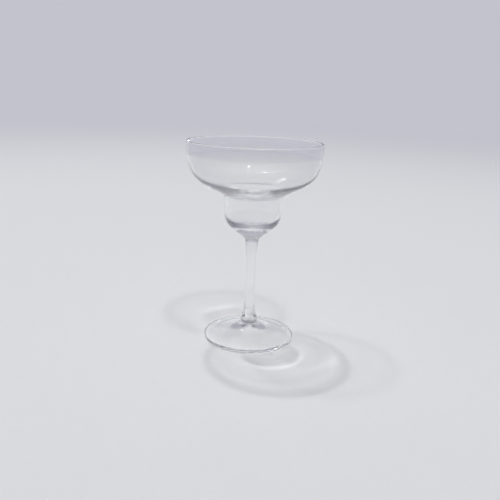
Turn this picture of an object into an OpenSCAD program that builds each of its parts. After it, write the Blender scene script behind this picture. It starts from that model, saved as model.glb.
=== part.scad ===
// Margarita glass: a wide shallow bowl over a narrow well, on a drawn stem and a round foot.
// Millimetres, +Z up. The origin lies on the table, under the middle of the foot.

/* [Foot] */
// diameter of the foot
foot_diameter = 78.6; // [68:0.2:90]
// height of the foot, from the table to its seam with the stem
foot_height = 14.5; // [13:0.1:19]
// thickness of the foot at its edge
foot_edge = 3.5; // [2.8:0.1:4.4]
// radius of the rounding on the upper side of the edge
edge_top_rounding = 0.7; // [0.4:0.1:1.2]
// radius of the rounding on the lower side of the edge
edge_low_rounding = 1.7; // [1:0.1:2.4]
// width of the flat ring that the glass stands on
rest_width = 1.4; // [1:0.1:3]
// radius of the rounding between that ring and the hollow
ring_rounding = 12; // [6:0.5:20]
// depth of the hollow under the middle of the foot
foot_hollow = 10.8; // [7:0.1:11.4]

/* [Stem] */
// length of the stem between its two seams
stem_length = 73.1; // [52:0.1:96]
// diameter of the seam between stem and foot
stem_low_diameter = 16; // [12:0.2:19]
// diameter of the stem at its waist
waist_diameter = 7.4; // [5.6:0.1:9.4]
// height of the waist, as a share of the stem's length
waist_share = 0.56; // [0.42:0.01:0.68]
// diameter of the seam between stem and bowl
stem_top_diameter = 11.4; // [9.8:0.1:14]

/* [Well] */
// height of the well, from its seam with the stem to the neck
well_height = 40; // [35:0.2:48]
// outside diameter of the well at the foot of its wall
well_low_diameter = 48; // [42:0.2:50]
// height of the straight wall under the neck
well_wall_height = 16.6; // [12:0.2:20]
// thickness of the wall from the neck down
well_wall = 3.2; // [2.2:0.1:4]
// thickness of the solid base, from the seam to the floor of the well
base_thickness = 14.8; // [11:0.1:17]

/* [Upper bowl] */
// outside diameter at the rim
rim_diameter = 113.5; // [98:0.5:128]
// height of the upper bowl, from the neck to the rim
bowl_depth = 44.4; // [37:0.2:54]
// thickness of the wall at the rim
rim_wall = 2; // [1.6:0.1:3.2]
// radius of the two roundings on the rim, outside and inside
rim_rounding = 0.6; // [0.3:0.1:0.7]
// height of the band under the rounded rim, in which the wall thins
rim_band = 10.5; // [7:0.5:15]
// thickness of the wall under that band, where it is thinnest
side_wall = 1.4; // [1.1:0.1:2.2]
// thickness of the wall where it runs into the neck
neck_wall = 3.2; // [2.4:0.1:4.4]
// outside diameter at the crease of the neck
neck_diameter = 50.5; // [46:0.5:56]
// radius of the rounding outside the crease of the neck
neck_rounding = 2.4; // [1.6:0.1:5]
// radius of the rounding inside the crease of the neck
neck_inner_rounding = 6.6; // [4:0.1:8]
// slope of the underside next to the neck, in degrees
underside_slope = 31; // [24:0.5:37]

/* [Hidden] */
$fn = 96;
curve_steps = 32;
round_steps = 8;

// heights above the table
stem_low_z = foot_height;
waist_z = foot_height + stem_length * waist_share;
stem_top_z = foot_height + stem_length;
floor_z = stem_top_z + base_thickness;
neck_z = stem_top_z + well_height;
wall_low_z = neck_z - well_wall_height;
rim_z = neck_z + bowl_depth;

// radii
foot_r = foot_diameter / 2;
stem_low_r = stem_low_diameter / 2;
waist_r = waist_diameter / 2;
stem_top_r = stem_top_diameter / 2;
wall_low_r = well_low_diameter / 2;
neck_r = neck_diameter / 2;
rim_r = rim_diameter / 2;
hollow_r = foot_r - edge_low_rounding - rest_width;

// slopes: of the well's wall from upright, of the stem at its top and of its flare above the foot
wall_lean = atan2(neck_r - wall_low_r, well_wall_height);
stem_top_lean = 9;
flare_slope = 75;
foot_flare_slope = 61;
foot_top_slope = 3;

// where the side starts to thicken towards the neck, as a share of its length, and how suddenly
thin_share = 0.14;
thickening = 1.9;

// unit steps along the section, outwards and upwards
under_dir = [cos(underside_slope), sin(underside_slope)];
wall_dir = [-sin(wall_lean), -cos(wall_lean)];
stem_dir = [-sin(stem_top_lean), -cos(stem_top_lean)];
flare_dir = [cos(flare_slope), -sin(flare_slope)];
foot_flare_dir = [cos(foot_flare_slope), -sin(foot_flare_slope)];
foot_top_dir = [cos(foot_top_slope), -sin(foot_top_slope)];
ring_dir = [1, 0];
hollow_dir = unit([-0.88 * hollow_r, 0.6 * foot_hollow]);

// a point of a smooth curve with four guides, and the step along it
function on_curve(g, t) =
    pow(1 - t, 3) * g[0] + 3 * pow(1 - t, 2) * t * g[1] + 3 * (1 - t) * t * t * g[2] + t * t * t * g[3];
function along_curve(g, t) =
    pow(1 - t, 2) * (g[1] - g[0]) + 2 * (1 - t) * t * (g[2] - g[1]) + t * t * (g[3] - g[2]);
function curve(g) = [for (i = [0 : curve_steps]) on_curve(g, i / curve_steps)];

// small helpers for lists, steps and lines
function unit(v) = v / norm(v);
function left_of(v) = [v[1], -v[0]] / norm(v);
function turned(v, a) = [v[0] * cos(a) - v[1] * sin(a), v[0] * sin(a) + v[1] * cos(a)];
function after_first(list) = [for (i = [1 : len(list) - 1]) list[i]];
function before_last(list) = [for (i = [0 : len(list) - 2]) list[i]];
function reversed(list) = [for (i = [len(list) - 1 : -1 : 0]) list[i]];
function meeting(p, p_dir, q, q_dir) = p + p_dir * cross(q - p, q_dir) / cross(p_dir, q_dir);

// the rounding of a corner between two lines, each given by the unit step that leaves the corner along it
function half_corner(first, second) = acos(first * second) / 2;
function corner_reach(first, second, radius) = radius / tan(half_corner(first, second));
function rounded(corner, first, second, radius) =
    let (
        half = half_corner(first, second),
        middle = corner + radius / sin(half) * unit(first + second),
        start = corner + corner_reach(first, second, radius) * first - middle,
        turn = (2 * half - 180) * sign(cross(first, second))
    )
    [for (i = [0 : round_steps]) middle + turned(start, turn * i / round_steps)];

// points of the section
neck_corner = [neck_r, neck_z];
neck_start = neck_corner + corner_reach(under_dir, wall_dir, neck_rounding) * under_dir;
rim_start = [rim_r, rim_z - rim_rounding];
wall_low = [wall_low_r, wall_low_z];
wall_low_in = wall_low + well_wall * [-cos(wall_lean), sin(wall_lean)];
stem_top = [stem_top_r, stem_top_z];
waist = [waist_r, waist_z];
stem_low = [stem_low_r, stem_low_z];
foot_rim = [foot_r - edge_top_rounding, foot_edge];
foot_low = [foot_r - edge_low_rounding, edge_low_rounding];
ring_reach = corner_reach(ring_dir, hollow_dir, ring_rounding);
ring_corner = [hollow_r - ring_reach, 0];
hollow_start = ring_corner + ring_reach * hollow_dir;

// the four guides of each smooth curve
side_curve = [
    rim_start,
    rim_start - [0, 0.77 * bowl_depth],
    neck_start + 0.63 * (rim_r - neck_r) * under_dir,
    neck_start
];
base_curve = [
    wall_low,
    wall_low + 0.6 * (wall_low_z - stem_top_z) * wall_dir,
    stem_top - 0.32 * (wall_low_z - stem_top_z) * stem_dir,
    stem_top
];
floor_curve = [
    wall_low_in,
    wall_low_in + 0.92 * (wall_low_in[1] - floor_z) * wall_dir,
    [0.47 * wall_low_in[0], floor_z],
    [0, floor_z]
];
stem_upper_curve = [
    stem_top,
    stem_top + 0.28 * (stem_top_z - waist_z) * stem_dir,
    waist + [0, 0.53 * (stem_top_z - waist_z)],
    waist
];
stem_lower_curve = [
    waist,
    waist - [0, 0.79 * (waist_z - stem_low_z)],
    stem_low - 0.24 * (waist_z - stem_low_z) * flare_dir,
    stem_low
];
foot_curve = [
    stem_low,
    stem_low + 0.2 * (stem_low_z - foot_edge) * foot_flare_dir,
    foot_rim - 0.68 * (foot_rim[0] - stem_low_r) * foot_top_dir,
    foot_rim
];
hollow_curve = [
    hollow_start,
    hollow_start + 0.86 * hollow_r * hollow_dir,
    [0.05 * hollow_r, foot_hollow],
    [0, foot_hollow]
];

// wall of the upper bowl: it thins in the band under the rim, and thickens again towards the neck
function side_wall_at(t) =
    let (
        band = max(0, 1 - (rim_start[1] - on_curve(side_curve, t)[1]) / rim_band),
        low = max(0, (t - thin_share) / (1 - thin_share))
    )
    side_wall + (rim_wall - side_wall) * band + (neck_wall - side_wall) * pow(low, thickening);

// the inside of the upper bowl, before the crease of the neck is rounded
side_inside = [
    for (i = [0 : curve_steps])
        let (t = i / curve_steps)
            on_curve(side_curve, t) + side_wall_at(t) * left_of(along_curve(side_curve, t))
];
inside_end = side_inside[curve_steps];
inside_dir = unit(side_inside[curve_steps - 1] - inside_end);
inside_corner = meeting(inside_end, inside_dir, wall_low_in, wall_dir);
inside_reach = corner_reach(inside_dir, wall_dir, neck_inner_rounding);
shortest_edge = 0.2;

// the inside, from the rim down to the crease
function inside_above_crease() = [
    for (p = side_inside) if ((p - inside_corner) * inside_dir > inside_reach + shortest_edge) p
];

// a quarter turn about a middle, which starts at an angle and runs clockwise
function quarter(middle, radius, start) = [
    for (i = [0 : round_steps])
        let (a = start - 90 * i / round_steps)
            middle + radius * [cos(a), sin(a)]
];

// the rounded top of the rim, from the inside over to the outside
function rim_arc() = concat(
    after_first(quarter(rim_start - [rim_wall - rim_rounding, 0], rim_rounding, 180)),
    before_last(quarter(rim_start - [rim_rounding, 0], rim_rounding, 90))
);

// the edge of the foot, from its top down to the flat ring
function foot_side() = concat(
    after_first(quarter(foot_rim - [0, edge_top_rounding], edge_top_rounding, 90)),
    quarter(foot_low, edge_low_rounding, 0)
);

// blown shell: upper bowl and well in one piece, with a solid base
module bowl() {
    outside = concat(
        curve(side_curve),
        after_first(rounded(neck_corner, under_dir, wall_dir, neck_rounding)),
        curve(base_curve)
    );
    inside = concat(
        inside_above_crease(),
        rounded(inside_corner, inside_dir, wall_dir, neck_inner_rounding),
        curve(floor_curve)
    );
    color([0.86, 0.9, 0.93, 0.35])
        rotate_extrude()
            polygon(concat(outside, [[0, stem_top_z]], reversed(inside), rim_arc()));
}

// solid drawn rod, wider at both ends
module stem() {
    side = concat(curve(stem_upper_curve), after_first(curve(stem_lower_curve)));
    color([0.84, 0.89, 0.92, 0.4])
        rotate_extrude()
            polygon(concat([[0, stem_top_z]], side, [[0, stem_low_z]]));
}

// pressed disc with a low hub, a rounded edge and a hollow that follows the hub from below
module foot() {
    color([0.85, 0.9, 0.92, 0.35])
        rotate_extrude()
            polygon(concat(
                [[0, stem_low_z]],
                curve(foot_curve),
                foot_side(),
                rounded(ring_corner, ring_dir, hollow_dir, ring_rounding),
                after_first(curve(hollow_curve))
            ));
}

bowl();
stem();
foot();
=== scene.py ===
"""Margarita glass of clear blown glass on a pale studio floor, under three ceiling lamps and a soft box."""

import logging
import math
from dataclasses import dataclass, field
from enum import Enum
from typing import Iterable

import bmesh
import bpy
from mathutils import Matrix, Vector


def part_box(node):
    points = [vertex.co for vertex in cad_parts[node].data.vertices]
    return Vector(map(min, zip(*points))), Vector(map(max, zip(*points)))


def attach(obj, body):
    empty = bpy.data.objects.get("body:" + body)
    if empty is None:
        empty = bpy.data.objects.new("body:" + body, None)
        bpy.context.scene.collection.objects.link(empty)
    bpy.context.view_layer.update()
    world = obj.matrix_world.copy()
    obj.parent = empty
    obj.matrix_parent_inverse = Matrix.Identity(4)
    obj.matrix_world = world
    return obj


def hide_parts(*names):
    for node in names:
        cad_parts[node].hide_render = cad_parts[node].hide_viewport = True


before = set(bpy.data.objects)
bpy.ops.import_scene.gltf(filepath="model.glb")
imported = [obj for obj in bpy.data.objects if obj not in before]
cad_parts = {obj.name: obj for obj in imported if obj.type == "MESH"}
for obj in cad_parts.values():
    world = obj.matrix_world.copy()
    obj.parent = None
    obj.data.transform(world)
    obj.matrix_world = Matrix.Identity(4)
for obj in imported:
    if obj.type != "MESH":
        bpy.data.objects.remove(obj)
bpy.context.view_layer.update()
LOG = logging.getLogger("margarita_glass")
MM = 0.001

Point = tuple[float, float]
Guides = tuple[Point, Point, Point, Point]
Colour = tuple[float, float, float]

# pale grey of the far floor and of the room behind it
BACKDROP: Colour = (0.545, 0.545, 0.612)

# seam between stem and bowl: its radius in millimetres, and how far the glass leans there in degrees
STEM_TOP_RADIUS = 5.7
STEM_TOP_LEAN = 9.0

# in millimetres: points nearer than this are one point, and faces nearer than this to a seam belong to it
MERGE_GAP = 0.002
SEAM_GAP = 0.001

# faces that meet at less than this many degrees look like one smooth face
SMOOTH_ANGLE = 28.0

# how many glass faces a ray of the picture may meet, and a ray of a shadow
GLASS_FACES = 96
SHADOW_FACES = 48


class Shade(Enum):
    """The faces of a piece: polished glass, or the seam where two pieces are melted into one."""

    GLASS = 0
    SEAM = 1


# Section curves


def on_curve(guides: Guides, share: float) -> Point:
    """Point of a smooth curve with four guides.

    Args:
        guides: start, two handles and end, as radius and height.
        share: how far along, from 0 to 1.

    Returns:
        Radius and height of the point.
    """
    back = 1.0 - share
    weights = (back**3, 3 * back**2 * share, 3 * back * share**2, share**3)
    return (
        sum(w * g[0] for w, g in zip(weights, guides)),
        sum(w * g[1] for w, g in zip(weights, guides)),
    )


def inward(guides: Guides, share: float) -> Point:
    """Unit step from the outside of the wall into the glass, at a place on a curve.

    Args:
        guides: the curve's four guides, running down the outside.
        share: how far along, from 0 to 1.

    Returns:
        Radius and height parts of the step.
    """
    back = 1.0 - share
    weights = (back**2, 2 * back * share, share**2)
    along = [sum(w * (b[i] - a[i]) for w, a, b in zip(weights, guides, guides[1:])) for i in (0, 1)]
    length = math.hypot(*along)
    return along[1] / length, -along[0] / length


def curve(guides: Guides, steps: int) -> list[Point]:
    """Evenly shared points of a smooth curve, with both ends."""
    return [on_curve(guides, i / steps) for i in range(steps + 1)]


def arc(centre: Point, radius: float, start: float, end: float, steps: int) -> list[Point]:
    """Points of an arc, with both ends.

    Args:
        centre: radius and height of the arc's middle.
        radius: the arc's radius.
        start: first angle in degrees, counted from outwards towards up.
        end: last angle in degrees.
        steps: how many chords the arc has.

    Returns:
        The points in order.
    """
    angles = [math.radians(start + (end - start) * i / steps) for i in range(steps + 1)]
    return [(centre[0] + radius * math.cos(a), centre[1] + radius * math.sin(a)) for a in angles]


def along(point: Point, step: Point, length: float) -> Point:
    """Point at a length along a unit step from another point."""
    return point[0] + step[0] * length, point[1] + step[1] * length


def slope(degrees: float) -> Point:
    """Unit step outwards and upwards at a slope in degrees."""
    return math.cos(math.radians(degrees)), math.sin(math.radians(degrees))


def between(start: Point, end: Point) -> Point:
    """Unit step from one point towards another."""
    length = math.dist(start, end)
    return (end[0] - start[0]) / length, (end[1] - start[1]) / length


def cross(first: Point, second: Point) -> float:
    """Signed area between two steps."""
    return first[0] * second[1] - first[1] * second[0]


def meeting(first: Point, first_step: Point, second: Point, second_step: Point) -> Point:
    """Point where two lines cross, each given by one of its points and a unit step."""
    gap = (second[0] - first[0], second[1] - first[1])
    return along(first, first_step, cross(gap, second_step) / cross(first_step, second_step))


@dataclass(frozen=True)
class Corner:
    """A corner between two lines, to be rounded.

    Attributes:
        point: where the lines cross.
        first: unit step that leaves the corner along the first line.
        second: unit step that leaves it along the second line.
        radius: radius of the rounding.
    """

    point: Point
    first: Point
    second: Point
    radius: float

    @property
    def half(self) -> float:
        """Half of the angle between the two lines, in radians."""
        return math.acos(self.first[0] * self.second[0] + self.first[1] * self.second[1]) / 2

    @property
    def reach(self) -> float:
        """How far from the corner the rounding leaves each line."""
        return self.radius / math.tan(self.half)

    def rounded(self, steps: int) -> list[Point]:
        """Points of the rounding, from the first line to the second, with both ends.

        Args:
            steps: how many chords the rounding has.

        Returns:
            The points in order.
        """
        middle_step = between((0.0, 0.0), (self.first[0] + self.second[0], self.first[1] + self.second[1]))
        middle = along(self.point, middle_step, self.radius / math.sin(self.half))
        start = along(self.point, self.first, self.reach)
        angle = math.degrees(math.atan2(start[1] - middle[1], start[0] - middle[0]))
        turn = math.copysign(180.0 - 2 * math.degrees(self.half), -cross(self.first, self.second))
        return arc(middle, self.radius, angle, angle + turn, steps)


# Finishes


Value = float | bpy.types.NodeSocket


@dataclass(frozen=True)
class Sheet:
    """A node tree in which values are worked out."""

    tree: bpy.types.NodeTree

    def calc(self, operation: str, *values: Value) -> bpy.types.NodeSocket:
        """Add a math node.

        Args:
            operation: the math node's operation.
            values: one to three numbers or sockets.

        Returns:
            The result's socket.
        """
        node = self.tree.nodes.new("ShaderNodeMath")
        node.operation = operation
        for socket, value in zip(node.inputs, values):
            if isinstance(value, bpy.types.NodeSocket):
                self.tree.links.new(value, socket)
            else:
                socket.default_value = value
        return node.outputs["Value"]

    def rise(self, value: bpy.types.NodeSocket, start: float, end: float) -> bpy.types.NodeSocket:
        """Smooth step from 0 to 1 while a value goes from start to end."""
        node = self.tree.nodes.new("ShaderNodeMapRange")
        node.interpolation_type = "SMOOTHSTEP"
        node.inputs["From Min"].default_value = start
        node.inputs["From Max"].default_value = end
        self.tree.links.new(value, node.inputs["Value"])
        return node.outputs["Result"]

    def blend(self, share: bpy.types.NodeSocket, low: Value, high: Value) -> bpy.types.NodeSocket:
        """Value between two others."""
        gap = self.calc("SUBTRACT", high, low)
        return self.calc("MULTIPLY_ADD", share, gap, low)


@dataclass(frozen=True)
class GlassFinish:
    """Clear soda glass: a faint tint, slow ripples from the blowing, a little haze and a film from washing.

    Attributes:
        name: the material's name, which is the record's slot.
        tint: colour that the glass gives to light.
        ior: index of refraction.
        ripple_depth: strength of the ripples.
        ripple_size: how many ripples there are in a metre.
        ripple_stretch: share of that number which is left along the height.
        haze: roughness where the haze is full.
        film: weight of the film.
        film_roughness: roughness of the film.
        shadow_clear: share of lamp light that passes a face seen square on.
        shadow_edge: share that passes a face seen edge on.
        shadow_fade: how far a face is turned away at the start and the end of the fall between the two.
    """

    name: str
    tint: Colour = (0.993, 0.998, 0.997)
    ior: float = 1.51
    ripple_depth: float = 0.01
    ripple_size: float = 60.0
    ripple_stretch: float = 0.35
    haze: float = 0.006
    film: float = 0.2
    film_roughness: float = 0.08
    shadow_clear: float = 0.94
    shadow_edge: float = 0.08
    shadow_fade: tuple[float, float] = (0.3, 0.85)

    def material(self, surface: bpy.types.NodeTree) -> bpy.types.Material:
        """Build the material of one piece.

        Args:
            surface: the shared node group with the ripples, the haze and the tint.

        Returns:
            The finished material.
        """
        mat = bpy.data.materials.new(self.name)
        mat.use_nodes = True
        nodes, links = mat.node_tree.nodes, mat.node_tree.links
        shader = nodes["Principled BSDF"]
        shader.inputs["IOR"].default_value = self.ior
        shader.inputs["Transmission Weight"].default_value = 1.0
        shader.inputs["Metallic"].default_value = 0.0
        shader.inputs["Coat Weight"].default_value = self.film
        shader.inputs["Coat Roughness"].default_value = self.film_roughness
        place = nodes.new("ShaderNodeTexCoord")
        group = nodes.new("ShaderNodeGroup")
        group.node_tree = surface
        group.inputs["Tint"].default_value = (*self.tint, 1.0)
        group.inputs["Ripple Size"].default_value = self.ripple_size
        group.inputs["Stretch"].default_value = self.ripple_stretch
        group.inputs["Haze"].default_value = self.haze
        bump = nodes.new("ShaderNodeBump")
        bump.inputs["Strength"].default_value = self.ripple_depth
        bump.inputs["Distance"].default_value = MM
        links.new(place.outputs["Object"], group.inputs["Place"])
        links.new(group.outputs["Colour"], shader.inputs["Base Color"])
        links.new(group.outputs["Roughness"], shader.inputs["Roughness"])
        links.new(group.outputs["Ripple"], bump.inputs["Height"])
        links.new(bump.outputs["Normal"], shader.inputs["Normal"])
        self.clear_shadow(mat)
        return mat

    def clear_shadow(self, mat: bpy.types.Material) -> None:
        """Let lamp light through the glass.

        Args:
            mat: the piece's material, with its shader in place.
        """
        nodes, links = mat.node_tree.nodes, mat.node_tree.links
        path = nodes.new("ShaderNodeLightPath")
        clear = nodes.new("ShaderNodeBsdfTransparent")
        mix = nodes.new("ShaderNodeMixShader")
        links.new(self.shadow_level(Sheet(mat.node_tree)), clear.inputs["Color"])
        links.new(path.outputs["Is Shadow Ray"], mix.inputs["Fac"])
        links.new(nodes["Principled BSDF"].outputs["BSDF"], mix.inputs[1])
        links.new(clear.outputs["BSDF"], mix.inputs[2])
        links.new(mix.outputs["Shader"], nodes["Material Output"].inputs["Surface"])

    def shadow_level(self, sheet: Sheet) -> bpy.types.NodeSocket:
        """How much lamp light passes one face: less of it where the face is seen edge on.

        Args:
            sheet: the material's node tree.

        Returns:
            The level's socket.
        """
        edge = sheet.tree.nodes.new("ShaderNodeLayerWeight")
        turned = sheet.rise(edge.outputs["Facing"], *self.shadow_fade)
        return sheet.blend(turned, self.shadow_clear, self.shadow_edge)


@dataclass(frozen=True)
class PaintedCausticGlass(GlassFinish):
    """Glass of the bowl, whose shadow holds a painted caustic at its crease and thick base.

    Attributes:
        crease: inner and outer radius of the crease in millimetres.
        crease_low: lowest height of the crease in millimetres.
        crease_high: highest height of the crease in millimetres.
        painted_caustic: how much brighter the painted caustic ring under the crease is.
        base_radius: radius of the thick base in millimetres.
        painted_base_light: how much brighter the painted light through the base is.
        softness: how far each border of crease and base fades to either side, in millimetres.
    """

    crease: tuple[float, float] = (19.0, 27.0)
    crease_low: float = 116.0
    crease_high: float = 138.0
    painted_caustic: float = 0.85
    base_radius: float = 18.0
    painted_base_light: float = 0.06
    softness: float = 2.0

    def shadow_level(self, sheet: Sheet) -> bpy.types.NodeSocket:
        """How much lamp light passes one face, with the painted caustic: a brighter ring at the crease and a
        brighter base.

        Args:
            sheet: the material's node tree.

        Returns:
            The level's socket.
        """
        nodes, links = sheet.tree.nodes, sheet.tree.links
        place = nodes.new("ShaderNodeTexCoord")
        parts = nodes.new("ShaderNodeSeparateXYZ")
        links.new(place.outputs["Object"], parts.inputs["Vector"])
        x, y, z = (parts.outputs[k] for k in "XYZ")
        radius = sheet.calc("SQRT", sheet.calc("MULTIPLY_ADD", x, x, sheet.calc("MULTIPLY", y, y)))
        soft, base = self.softness * MM, self.base_radius * MM
        inner, outer = (r * MM for r in self.crease)
        rising = sheet.rise(radius, inner - soft, inner + soft)
        falling = sheet.rise(radius, outer + soft, outer - soft)
        above = sheet.calc("GREATER_THAN", z, self.crease_low * MM)
        below = sheet.calc("LESS_THAN", z, self.crease_high * MM)
        across = sheet.calc("MULTIPLY", rising, falling)
        ring = sheet.calc("MULTIPLY", across, sheet.calc("MULTIPLY", above, below))
        disc = sheet.rise(radius, base + soft, base - soft)
        low = sheet.calc("SUBTRACT", 1.0, above)
        # painted caustic: a set amount more lamp light passes the crease's ring and the base
        painted_gain = sheet.calc("MULTIPLY_ADD", ring, self.painted_caustic, 1.0)
        painted_gain = sheet.calc("MULTIPLY_ADD", sheet.calc("MULTIPLY", disc, low), self.painted_base_light, painted_gain)
        return sheet.calc("MULTIPLY", super().shadow_level(sheet), painted_gain)


@dataclass(frozen=True)
class GlassSurface:
    """Surface that all the pieces share: slow ripples, clouds of faint haze and a slightly uneven tint.

    Attributes:
        ripple_detail: how many finer ripples lie on the slow ones.
        ripple_roughness: how strong the finer ones are.
        cloud_size: how many clouds of haze there are in a metre.
        cloud_detail: how ragged they are.
        cloud_start: level of the noise at which haze begins.
        cloud_full: level at which it is full.
        dimmest: brightness of the tint where it is least.
    """

    ripple_detail: float = 1.0
    ripple_roughness: float = 0.4
    cloud_size: float = 160.0
    cloud_detail: float = 4.0
    cloud_start: float = 0.52
    cloud_full: float = 0.8
    dimmest: float = 0.99

    def group(self) -> bpy.types.NodeTree:
        """Build the node group.

        Returns:
            The group, to be placed in each piece's material.
        """
        tree = bpy.data.node_groups.new("glass_surface", "ShaderNodeTree")
        self.add_sockets(tree)
        given = tree.nodes.new("NodeGroupInput")
        result = tree.nodes.new("NodeGroupOutput")
        ripple = self.ripple(tree, given)
        tree.links.new(ripple, result.inputs["Ripple"])
        tree.links.new(self.haze(tree, given), result.inputs["Roughness"])
        tree.links.new(self.tint(tree, given, ripple), result.inputs["Colour"])
        return tree

    def add_sockets(self, tree: bpy.types.NodeTree) -> None:
        """Name what the group is given and what it gives."""
        floats, colour, vector = "NodeSocketFloat", "NodeSocketColor", "NodeSocketVector"
        given = {"Place": vector, "Tint": colour, "Ripple Size": floats, "Stretch": floats, "Haze": floats}
        results = {"Colour": colour, "Roughness": floats, "Ripple": floats}
        for way, sockets in (("INPUT", given), ("OUTPUT", results)):
            for name, kind in sockets.items():
                tree.interface.new_socket(name, in_out=way, socket_type=kind)

    def ripple(self, tree: bpy.types.NodeTree, given: bpy.types.Node) -> bpy.types.NodeSocket:
        """Slow noise that is stretched along the height.

        Args:
            tree: the group's node tree.
            given: the group's inputs.

        Returns:
            The noise's socket.
        """
        nodes, links = tree.nodes, tree.links
        squash = nodes.new("ShaderNodeCombineXYZ")
        squash.inputs["X"].default_value = 1.0
        squash.inputs["Y"].default_value = 1.0
        scaled = nodes.new("ShaderNodeVectorMath")
        scaled.operation = "MULTIPLY"
        noise = nodes.new("ShaderNodeTexNoise")
        noise.inputs["Detail"].default_value = self.ripple_detail
        noise.inputs["Roughness"].default_value = self.ripple_roughness
        links.new(given.outputs["Stretch"], squash.inputs["Z"])
        links.new(given.outputs["Place"], scaled.inputs[0])
        links.new(squash.outputs["Vector"], scaled.inputs[1])
        links.new(scaled.outputs["Vector"], noise.inputs["Vector"])
        links.new(given.outputs["Ripple Size"], noise.inputs["Scale"])
        return noise.outputs["Fac"]

    def haze(self, tree: bpy.types.NodeTree, given: bpy.types.Node) -> bpy.types.NodeSocket:
        """Roughness of the clouds of haze.

        Args:
            tree: the group's node tree.
            given: the group's inputs.

        Returns:
            The roughness's socket.
        """
        cloud = tree.nodes.new("ShaderNodeTexNoise")
        cloud.inputs["Scale"].default_value = self.cloud_size
        cloud.inputs["Detail"].default_value = self.cloud_detail
        spread = tree.nodes.new("ShaderNodeMapRange")
        spread.inputs["From Min"].default_value = self.cloud_start
        spread.inputs["From Max"].default_value = self.cloud_full
        tree.links.new(given.outputs["Place"], cloud.inputs["Vector"])
        tree.links.new(cloud.outputs["Fac"], spread.inputs["Value"])
        return Sheet(tree).calc("MULTIPLY", spread.outputs["Result"], given.outputs["Haze"])

    def tint(
        self, tree: bpy.types.NodeTree, given: bpy.types.Node, ripple: bpy.types.NodeSocket
    ) -> bpy.types.NodeSocket:
        """Tint that is a little dimmer in some of the ripples.

        Args:
            tree: the group's node tree.
            given: the group's inputs.
            ripple: the ripples' socket.

        Returns:
            The colour's socket.
        """
        shade = tree.nodes.new("ShaderNodeMapRange")
        shade.inputs["To Min"].default_value = self.dimmest
        shade.inputs["To Max"].default_value = 1.0
        scaled = tree.nodes.new("ShaderNodeVectorMath")
        scaled.operation = "SCALE"
        tree.links.new(ripple, shade.inputs["Value"])
        tree.links.new(given.outputs["Tint"], scaled.inputs[0])
        tree.links.new(shade.outputs["Result"], scaled.inputs["Scale"])
        return scaled.outputs["Vector"]


@dataclass(frozen=True)
class SeamFinish:
    """Melted seam inside the glass: nothing of it shows."""

    name: str = "fused_seam"

    def material(self) -> bpy.types.Material:
        """Build the material, which lets every ray straight through."""
        mat = bpy.data.materials.new(self.name)
        mat.use_nodes = True
        mat.node_tree.nodes["Principled BSDF"].inputs["Alpha"].default_value = 0.0
        return mat


# Pieces


@dataclass
class LathedPiece:
    """A piece of round glassware, turned from a half section about the upright axis.

    Attributes:
        name: the piece's name.
        node: the CAD node that it stands for.
        finish: its glass, named after the record's material slot.
        turns: how many steps the full turn has.
        seams: heights of the faces that are melted to a neighbour, in millimetres.
    """

    name: str
    node: str
    finish: GlassFinish
    turns: int = 160
    seams: tuple[float, ...] = ()
    body: bpy.types.Object | None = field(default=None, init=False)

    def section(self) -> list[Point]:
        """Half section in millimetres, from one place on the axis round to another."""
        raise NotImplementedError

    def build(self) -> bpy.types.Object:
        """Turn the section into a closed mesh.

        Returns:
            The finished object, at the origin.
        """
        points = [Vector((r * MM, 0.0, z * MM)) for r, z in self.section()]
        bpy.ops.object.select_all(action="DESELECT")
        bpy.ops.mesh.primitive_plane_add(size=MM, location=(0.0, 0.0, 0.0))
        self.body = bpy.context.object
        self.body.name = self.body.data.name = self.name
        bpy.ops.object.mode_set(mode="EDIT")
        bpy.ops.mesh.select_all(action="SELECT")
        bpy.ops.mesh.merge(type="CENTER")
        bpy.ops.transform.translate(value=points[0])
        for here, there in zip(points, points[1:]):
            bpy.ops.mesh.extrude_vertices_move(TRANSFORM_OT_translate={"value": there - here})
        bpy.ops.mesh.select_all(action="SELECT")
        bpy.ops.mesh.spin(steps=self.turns, angle=math.tau, center=(0, 0, 0), axis=(0, 0, 1))
        bpy.ops.mesh.select_all(action="SELECT")
        bpy.ops.mesh.remove_doubles(threshold=MERGE_GAP * MM)
        bpy.ops.mesh.normals_make_consistent(inside=False)
        bpy.ops.object.mode_set(mode="OBJECT")
        bpy.ops.object.shade_smooth_by_angle(angle=math.radians(SMOOTH_ANGLE))
        self.body.cycles.is_caustics_caster = True
        return self.body

    def select_seams(self) -> None:
        """Select the flat faces that are melted to a neighbour, in edit mode."""
        mesh = bmesh.from_edit_mesh(self.body.data)
        gap = SEAM_GAP * MM
        for face in mesh.faces:
            face.select_set(any(all(abs(v.co.z - z * MM) < gap for v in face.verts) for z in self.seams))
        bmesh.update_edit_mesh(self.body.data)

    def dress(self, glass: bpy.types.Material, seam: bpy.types.Material) -> None:
        """Give the piece its glass, and its melted faces the seam.

        Args:
            glass: the material of the polished faces.
            seam: the material of the melted faces.
        """
        self.body.data.materials.clear()
        self.body.data.materials.append(glass)
        self.body.data.materials.append(seam)
        bpy.ops.object.mode_set(mode="EDIT")
        bpy.ops.mesh.select_mode(type="FACE")
        self.select_seams()
        self.body.active_material_index = Shade.SEAM.value
        bpy.ops.object.material_slot_assign()
        bpy.ops.mesh.select_mode(type="VERT")
        bpy.ops.object.mode_set(mode="OBJECT")
        self.body.active_material_index = Shade.GLASS.value

    def place(self) -> None:
        """Hand the piece to the frame: it rides on the part's body and stands for its node."""
        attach(self.body, "root")
        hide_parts(self.node)


def node_size(node: str) -> tuple[float, float, float]:
    """Radius, lowest and highest height of a round CAD node, in millimetres."""
    low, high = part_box(node)
    return high[0] / MM, low[2] / MM, high[2] / MM


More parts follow.
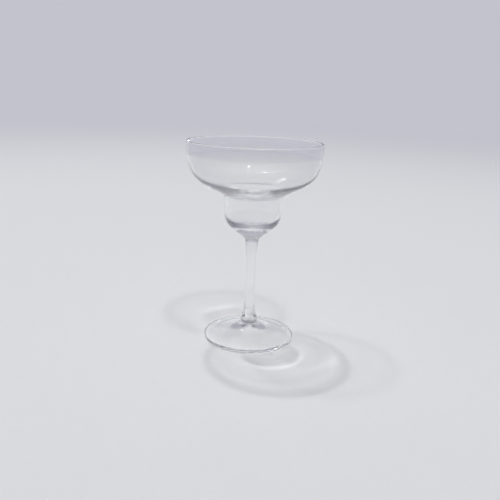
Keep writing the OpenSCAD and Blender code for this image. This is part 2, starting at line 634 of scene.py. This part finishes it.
@dataclass
class Bowl(LathedPiece):
    """Blown shell: the wide upper bowl, the crease of the neck, the well and its solid base.

    Its sizes are in millimetres and degrees, as in the part's source. A curve's two handles are shares of the
    length or the radius that they are measured on.
    """

    rim_wall: float = 2.0
    rim_rounding: float = 0.6
    rim_band: float = 10.5
    side_wall: float = 1.4
    neck_wall: float = 3.2
    thin_share: float = 0.14
    thickening: float = 1.9
    well_wall: float = 3.2
    neck_radius: float = 25.25
    neck_rounding: float = 2.4
    neck_inner_rounding: float = 6.6
    underside_slope: float = 31.0
    bowl_depth: float = 44.4
    wall_height: float = 16.6
    wall_low_radius: float = 24.0
    base_thickness: float = 14.8
    stem_radius: float = STEM_TOP_RADIUS
    stem_lean: float = STEM_TOP_LEAN
    side_handles: tuple[float, float] = (0.77, 0.63)
    base_handles: tuple[float, float] = (0.6, 0.32)
    floor_handles: tuple[float, float] = (0.92, 0.47)
    shortest_edge: float = 0.2
    side_steps: int = 96
    steps: int = 48
    round_steps: int = 14
    lip_steps: int = 7

    def wall_at(self, share: float, drop: float) -> float:
        """Thickness of the upper bowl's wall.

        Args:
            share: how far along the side, from the rim at 0 to the neck at 1.
            drop: height below the rounded rim.

        Returns:
            The thickness: it falls in the band under the rim, and rises again towards the neck.
        """
        band = max(0.0, 1.0 - drop / self.rim_band)
        low = max(0.0, (share - self.thin_share) / (1.0 - self.thin_share))
        extra = (self.neck_wall - self.side_wall) * low**self.thickening
        return self.side_wall + (self.rim_wall - self.side_wall) * band + extra

    def inside(self, side: Guides, inner_low: Point, down: Point) -> list[Point]:
        """Inside of the upper bowl with the rounded crease of the neck.

        Args:
            side: guides of the outside, from the rim down to the neck.
            inner_low: foot of the well's straight wall, on its inside.
            down: unit step down that wall.

        Returns:
            The points from the rim down to the end of the crease.
        """
        points = []
        for i in range(self.side_steps + 1):
            share = i / self.side_steps
            place = on_curve(side, share)
            wall = self.wall_at(share, side[0][1] - place[1])
            points.append(along(place, inward(side, share), wall))
        back = between(points[-1], points[-2])
        crease = Corner(meeting(points[-1], back, inner_low, down), back, down, self.neck_inner_rounding)
        clear = crease.reach + self.shortest_edge
        kept = [p for p in points if p[0] > crease.point[0] and math.dist(p, crease.point) > clear]
        return kept + crease.rounded(self.round_steps)

    def section(self) -> list[Point]:
        """Half section from the melted base up the outside, over the rim and down the inside."""
        rim_r, base_z, rim_z = node_size(self.node)
        neck_z = rim_z - self.bowl_depth
        lean = math.degrees(math.atan2(self.neck_radius - self.wall_low_radius, self.wall_height))
        under, down = slope(self.underside_slope), slope(-90.0 - lean)
        neck = Corner((self.neck_radius, neck_z), under, down, self.neck_rounding)
        neck_start = along(neck.point, under, neck.reach)
        rim = (rim_r, rim_z - self.rim_rounding)
        side = (
            rim,
            (rim_r, rim[1] - self.side_handles[0] * self.bowl_depth),
            along(neck_start, under, self.side_handles[1] * (rim_r - self.neck_radius)),
            neck_start,
        )
        wall_low = (self.wall_low_radius, neck_z - self.wall_height)
        drop = wall_low[1] - base_z
        base_end = (self.stem_radius, base_z)
        base = (
            wall_low,
            along(wall_low, down, self.base_handles[0] * drop),
            along(base_end, slope(90.0 - self.stem_lean), self.base_handles[1] * drop),
            base_end,
        )
        inner_low = along(wall_low, slope(180.0 - lean), self.well_wall)
        floor_z = base_z + self.base_thickness
        floor = (
            inner_low,
            along(inner_low, down, self.floor_handles[0] * (inner_low[1] - floor_z)),
            (self.floor_handles[1] * inner_low[0], floor_z),
            (0.0, floor_z),
        )
        crease = neck.rounded(self.round_steps)[1:]
        outside = curve(side, self.side_steps) + crease + curve(base, self.steps)
        inside = self.inside(side, inner_low, down) + curve(floor, self.steps)
        return [(0.0, base_z)] + outside[::-1] + self.lip(rim) + inside

    def lip(self, rim: Point) -> list[Point]:
        """Top of the rim, with a rounding at each side of it.

        Args:
            rim: where the outside ends under the rounding.

        Returns:
            The points between the outside and the inside, without the ends.
        """
        inner = (rim[0] - self.rim_wall + self.rim_rounding, rim[1])
        outer = (rim[0] - self.rim_rounding, rim[1])
        points = arc(outer, self.rim_rounding, 0.0, 90.0, self.lip_steps)
        points += arc(inner, self.rim_rounding, 90.0, 180.0, self.lip_steps)
        return points[1:-1]


@dataclass
class Stem(LathedPiece):
    """Solid drawn rod with a waist, wider at both ends."""

    waist_radius: float = 3.7
    waist_share: float = 0.56
    top_radius: float = STEM_TOP_RADIUS
    top_lean: float = STEM_TOP_LEAN
    flare_slope: float = 75.0
    upper_handles: tuple[float, float] = (0.28, 0.53)
    lower_handles: tuple[float, float] = (0.79, 0.24)
    steps: int = 48

    def section(self) -> list[Point]:
        """Half section from the foot's seam up to the bowl's seam."""
        low_r, low_z, top_z = node_size(self.node)
        waist = (self.waist_radius, low_z + self.waist_share * (top_z - low_z))
        upper, lower = top_z - waist[1], waist[1] - low_z
        top, low = (self.top_radius, top_z), (low_r, low_z)
        upper_side = (
            top,
            along(top, slope(-90.0 - self.top_lean), self.upper_handles[0] * upper),
            (waist[0], waist[1] + self.upper_handles[1] * upper),
            waist,
        )
        lower_side = (
            waist,
            (waist[0], waist[1] - self.lower_handles[0] * lower),
            along(low, slope(180.0 - self.flare_slope), self.lower_handles[1] * lower),
            low,
        )
        side = curve(upper_side, self.steps) + curve(lower_side, self.steps)[1:]
        return [(0.0, low_z)] + side[::-1] + [(0.0, top_z)]


@dataclass
class Foot(LathedPiece):
    """Pressed disc with a low hub, a rounded edge and a hollow that follows the hub from below."""

    edge: float = 3.5
    edge_top_rounding: float = 0.7
    edge_low_rounding: float = 1.7
    rest_width: float = 1.4
    ring_rounding: float = 12.0
    hollow: float = 10.8
    hub_radius: float = 8.0
    hub_slope: float = 61.0
    top_slope: float = 3.0
    top_handles: tuple[float, float] = (0.2, 0.68)
    hollow_rise: tuple[float, float] = (0.88, 0.6)
    hollow_handles: tuple[float, float] = (0.86, 0.05)
    steps: int = 56
    round_steps: int = 10

    def section(self) -> list[Point]:
        """Half section from the stem's seam over the top, round the edge and along the hollow."""
        radius, _, hub_z = node_size(self.node)
        hub, edge = (self.hub_radius, hub_z), (radius - self.edge_top_rounding, self.edge)
        top = (
            hub,
            along(hub, slope(-self.hub_slope), self.top_handles[0] * (hub_z - self.edge)),
            along(edge, slope(180.0 - self.top_slope), self.top_handles[1] * (edge[0] - self.hub_radius)),
            edge,
        )
        upper, lower = self.edge_top_rounding, self.edge_low_rounding
        rim = arc((edge[0], self.edge - upper), upper, 90.0, 0.0, self.round_steps)
        rim += arc((radius - lower, lower), lower, 0.0, -90.0, self.round_steps)
        underside = self.underside(radius - lower - self.rest_width)
        return [(0.0, hub_z)] + curve(top, self.steps) + rim[1:] + underside

    def underside(self, hollow_r: float) -> list[Point]:
        """Rounding at the end of the flat ring, and the hollow.

        Args:
            hollow_r: radius at which the flat ring ends.

        Returns:
            The points from the ring to the axis.
        """
        run, lift = self.hollow_rise
        rising = between((0.0, 0.0), (-run * hollow_r, lift * self.hollow))
        sharp = Corner((0.0, 0.0), (1.0, 0.0), rising, self.ring_rounding)
        ring = Corner((hollow_r - sharp.reach, 0.0), sharp.first, rising, self.ring_rounding)
        start = along(ring.point, rising, ring.reach)
        hollow = (
            start,
            along(start, rising, self.hollow_handles[0] * hollow_r),
            (self.hollow_handles[1] * hollow_r, self.hollow),
            (0.0, self.hollow),
        )
        return ring.rounded(self.round_steps) + curve(hollow, self.steps)[1:]


# Studio


@dataclass(frozen=True)
class Floor:
    """Wide pale studio floor, which runs out into an even backdrop.

    Attributes:
        radius: radius in metres.
        turns: how many corners its edge has.
        colour: paint near the glass.
        far_colour: the backdrop's own pale grey.
        near: distance from the glass, in metres, at which the backdrop begins to show.
        far: distance at which nothing else shows.
        roughness: how matt the paint is.
        gloss: level of the paint's gloss.
    """

    radius: float = 40.0
    turns: int = 128
    colour: Colour = (0.86, 0.868, 0.872)
    far_colour: Colour = BACKDROP
    near: float = 0.7
    far: float = 3.4
    roughness: float = 0.9
    gloss: float = 0.1

    def build(self) -> bpy.types.Object:
        """Model the floor, which receives the glass's shadow caustics.

        Returns:
            The floor.
        """
        bpy.ops.object.select_all(action="DESELECT")
        bpy.ops.mesh.primitive_circle_add(vertices=self.turns, radius=self.radius, fill_type="NGON")
        floor = bpy.context.object
        floor.name = floor.data.name = "studio_floor"
        floor.data.materials.append(self.material())
        floor.cycles.is_caustics_receiver = True
        return floor

    def material(self) -> bpy.types.Material:
        """Matt pale paint near the glass, even backdrop further away."""
        mat = bpy.data.materials.new("studio_paint")
        mat.use_nodes = True
        nodes, links = mat.node_tree.nodes, mat.node_tree.links
        paint = nodes["Principled BSDF"]
        paint.inputs["Base Color"].default_value = (*self.colour, 1.0)
        paint.inputs["Roughness"].default_value = self.roughness
        paint.inputs["Specular IOR Level"].default_value = self.gloss
        place = nodes.new("ShaderNodeTexCoord")
        distance = nodes.new("ShaderNodeVectorMath")
        distance.operation = "LENGTH"
        backdrop = nodes.new("ShaderNodeEmission")
        backdrop.inputs["Color"].default_value = (*self.far_colour, 1.0)
        blend = nodes.new("ShaderNodeMixShader")
        links.new(place.outputs["Object"], distance.inputs[0])
        share = Sheet(mat.node_tree).rise(distance.outputs["Value"], self.near, self.far)
        links.new(share, blend.inputs["Fac"])
        links.new(paint.outputs["BSDF"], blend.inputs[1])
        links.new(backdrop.outputs["Emission"], blend.inputs[2])
        links.new(blend.outputs["Shader"], nodes["Material Output"].inputs["Surface"])
        return mat


@dataclass(frozen=True)
class SoftBox:
    """Large soft light under the ceiling, which fills the floor and isn't mirrored in the glass.

    Attributes:
        power: watts.
        place: where its middle hangs, in metres.
        width: length of its sides in metres.
    """

    power: float = 129.0
    place: tuple[float, float, float] = (0.0, 0.0, 4.5)
    width: float = 12.0

    def hang(self) -> bpy.types.Object:
        """Hang the light over the floor, facing down.

        Returns:
            The light.
        """
        light = bpy.data.lights.new("soft_box", "AREA")
        light.shape = "SQUARE"
        light.size = self.width
        light.energy = self.power
        box = bpy.data.objects.new("soft_box", light)
        bpy.context.scene.collection.objects.link(box)
        box.location = self.place
        light.cycles.use_multiple_importance_sampling = False
        return box


@dataclass(frozen=True)
class CeilingLamp:
    """One round ceiling lamp, which the glass mirrors but doesn't show through itself.

    Attributes:
        name: the lamp's name.
        throw: where the rim's shadow falls on the floor, in millimetres from the foot's middle.
        power: watts.
        height: height above the floor in metres.
        width: diameter in metres.
    """

    name: str
    throw: Point
    power: float
    height: float = 4.0
    width: float = 0.14

    def hang(self, rim_height: float) -> bpy.types.Object:
        """Hang the lamp where it throws the rim's shadow to its place.

        Args:
            rim_height: height of the rim in metres.

        Returns:
            The lamp.
        """
        light = bpy.data.lights.new(self.name, "AREA")
        light.shape = "DISK"
        light.size = self.width
        light.energy = self.power
        light.cycles.is_caustics_light = True
        lamp = bpy.data.objects.new(self.name, light)
        lamp.visible_transmission = False
        bpy.context.scene.collection.objects.link(lamp)
        shadow = Vector((self.throw[0] * MM, self.throw[1] * MM, 0.0))
        rim = Vector((0.0, 0.0, rim_height))
        lamp.location = shadow + (rim - shadow) * (self.height / rim_height)
        lamp.rotation_euler = (lamp.location - rim).to_track_quat("Z", "Y").to_euler()
        return lamp


@dataclass(frozen=True)
class Room:
    """The room round the floor: four walls, pale at eye height, and a ceiling with a brighter middle.

    This is what the glass shows. The camera sees the even backdrop instead.

    Attributes:
        back: level of the wall behind the glass, as the photograph looks.
        front: level of the wall behind the viewer.
        left: level of the wall on the viewer's left.
        right: level of the wall on the viewer's right.
        horizon: level behind the glass at eye height.
        side_horizon: level of the other walls at eye height.
        ceiling: level of the ceiling.
        zenith: level of the ceiling's middle.
        blue: how blue the wall behind the glass is, against red.
        side_blue: how blue the other walls are.
        ceiling_blue: how blue the ceiling is.
        eye_top: height in degrees at which nothing is left of the level at eye height.
        ceiling_start: height at which the walls begin to run into the ceiling.
        ceiling_full: height at which the ceiling is reached and begins to run into its middle.
        zenith_full: height at which the middle is reached.
        back_spread: how much wider than the wall behind the glass its eye height and its blue are.
        least: small number that keeps the walls' shares finite straight up.
    """

    back: float = 0.43
    front: float = 0.03
    left: float = 0.05
    right: float = 0.02
    horizon: float = 0.555
    side_horizon: float = 0.42
    ceiling: float = 0.29
    zenith: float = 0.44
    blue: float = 1.13
    side_blue: float = 1.6
    ceiling_blue: float = 1.08
    eye_top: float = 9.0
    ceiling_start: float = 36.0
    ceiling_full: float = 56.0
    zenith_full: float = 70.0
    back_spread: float = 1.25
    least: float = 1e-4

    def build(self) -> None:
        """Set the world."""
        world = bpy.data.worlds.new("room")
        world.use_nodes = True
        tree = world.node_tree
        path = tree.nodes.new("ShaderNodeLightPath")
        view = tree.nodes.new("ShaderNodeMix")
        view.data_type = "RGBA"
        view.inputs["B"].default_value = (*BACKDROP, 1.0)
        tree.links.new(path.outputs["Is Camera Ray"], view.inputs["Factor"])
        tree.links.new(self.colour(Sheet(tree)), view.inputs["A"])
        tree.links.new(view.outputs["Result"], tree.nodes["Background"].inputs["Color"])
        bpy.context.scene.world = world

    def colour(self, sheet: Sheet) -> bpy.types.NodeSocket:
        """Colour of the room in each direction.

        Args:
            sheet: the world's node tree.

        Returns:
            The colour's socket.
        """
        nodes, links = sheet.tree.nodes, sheet.tree.links
        way = nodes.new("ShaderNodeTexCoord")
        parts = nodes.new("ShaderNodeSeparateXYZ")
        links.new(way.outputs["Generated"], parts.inputs["Vector"])
        x, y, z = (parts.outputs[k] for k in "XYZ")
        flat = sheet.calc("MULTIPLY_ADD", x, x, sheet.calc("MULTIPLY_ADD", y, y, self.least))

        def facing(value: bpy.types.NodeSocket, sign: float) -> bpy.types.NodeSocket:
            """Share of a wall in a direction."""
            ahead = sheet.calc("MAXIMUM", sheet.calc("MULTIPLY", value, sign), 0.0)
            return sheet.calc("DIVIDE", sheet.calc("MULTIPLY", ahead, ahead), flat)

        behind = facing(y, 1.0)
        wall = sheet.calc("MULTIPLY", behind, self.back)
        for value, sign, level in ((y, -1.0, self.front), (x, -1.0, self.left), (x, 1.0, self.right)):
            wall = sheet.calc("MULTIPLY_ADD", facing(value, sign), level, wall)
        height = sheet.calc("ARCSINE", z)
        eye_top, ceiling_start, ceiling_full, zenith_full = (
            math.radians(a) for a in (self.eye_top, self.ceiling_start, self.ceiling_full, self.zenith_full)
        )
        wide = sheet.calc("MINIMUM", sheet.calc("MULTIPLY", behind, self.back_spread), 1.0)
        low = sheet.calc("MULTIPLY_ADD", wide, self.horizon - self.side_horizon, self.side_horizon)
        above = sheet.rise(height, 0.0, eye_top)
        wall = sheet.blend(above, low, wall)
        top = sheet.blend(sheet.rise(height, ceiling_full, zenith_full), self.ceiling, self.zenith)
        over = sheet.rise(height, ceiling_start, ceiling_full)
        grey = sheet.blend(over, wall, top)
        pale = sheet.calc("MAXIMUM", wide, sheet.calc("SUBTRACT", 1.0, above))
        cool_wall = sheet.calc("MULTIPLY", wall, sheet.blend(pale, self.side_blue, self.blue))
        cool_top = sheet.calc("MULTIPLY", top, self.ceiling_blue)
        colour = nodes.new("ShaderNodeCombineColor")
        links.new(grey, colour.inputs["Red"])
        links.new(grey, colour.inputs["Green"])
        links.new(sheet.blend(over, cool_wall, cool_top), colour.inputs["Blue"])
        return colour.outputs["Color"]


@dataclass(frozen=True)
class PhotoCamera:
    """The photograph's viewpoint.

    Place and nearest distance are in metres, turns in radians, lens and sensor in millimetres.
    """

    place: tuple[float, float, float] = (0.0, -0.49306, 0.21613)
    turn: float = -0.0025
    tilt: float = 0.2706
    roll: float = 0.0364
    lens: float = 42.717
    sensor: float = 36.0
    nearest: float = 0.01

    def build(self) -> None:
        """Make the camera and look through it."""
        data = bpy.data.cameras.new("photo_camera")
        data.lens = self.lens
        data.sensor_width = self.sensor
        data.clip_start = self.nearest
        camera = bpy.data.objects.new("photo_camera", data)
        bpy.context.scene.collection.objects.link(camera)
        ahead = Vector((
            math.sin(self.turn) * math.cos(self.tilt),
            math.cos(self.turn) * math.cos(self.tilt),
            -math.sin(self.tilt),
        ))
        right = Vector((math.cos(self.turn), -math.sin(self.turn), 0.0))
        up = right.cross(ahead)
        across = right * math.cos(self.roll) + up * math.sin(self.roll)
        over = up * math.cos(self.roll) - right * math.sin(self.roll)
        turned = Matrix((across, over, -ahead)).transposed().to_4x4()
        camera.matrix_world = Matrix.Translation(self.place) @ turned
        bpy.context.scene.camera = camera


def set_light_paths() -> None:
    """Let light pass through many glass walls, and keep colours as written."""
    scene = bpy.context.scene
    scene.view_settings.view_transform = "Standard"
    scene.cycles.max_bounces = GLASS_FACES
    scene.cycles.transmission_bounces = GLASS_FACES
    scene.cycles.glossy_bounces = GLASS_FACES
    scene.cycles.transparent_max_bounces = SHADOW_FACES
    scene.cycles.sample_clamp_indirect = 0.0


def dress_all(pieces: Iterable[LathedPiece]) -> None:
    """Build, dress and place the pieces in order.

    Args:
        pieces: the glass's pieces.
    """
    surface, seam = GlassSurface().group(), SeamFinish().material()
    for piece in pieces:
        piece.build()
        piece.dress(piece.finish.material(surface), seam)
        piece.place()
        LOG.info("%s: %d faces", piece.name, len(piece.body.data.polygons))


def main() -> None:
    """Build the glass and its studio."""
    logging.basicConfig(level=logging.INFO)
    PhotoCamera().build()
    set_light_paths()
    _, low_z, top_z = node_size("stem")
    dress_all((
        Bowl("glass_bowl", "bowl", PaintedCausticGlass("bowl_glass"), turns=192, seams=(top_z,)),
        Stem("glass_stem", "stem", GlassFinish("stem_glass"), turns=96, seams=(low_z, top_z)),
        Foot("glass_foot", "foot", GlassFinish("foot_glass", shadow_clear=0.925), seams=(low_z,)),
    ))
    Floor().build()
    rim_height = node_size("bowl")[2] * MM
    lamps = (
        CeilingLamp("lamp_front", (-25.1, 58.1), 27.0, width=0.34),
        CeilingLamp("lamp_back", (24.6, -49.9), 27.0),
        CeilingLamp("lamp_left", (64.7, -47.5), 16.0, width=0.24),
    )
    for lamp in lamps:
        lamp.hang(rim_height)
    SoftBox().hang()
    Room().build()


if __name__ == "__main__":
    main()
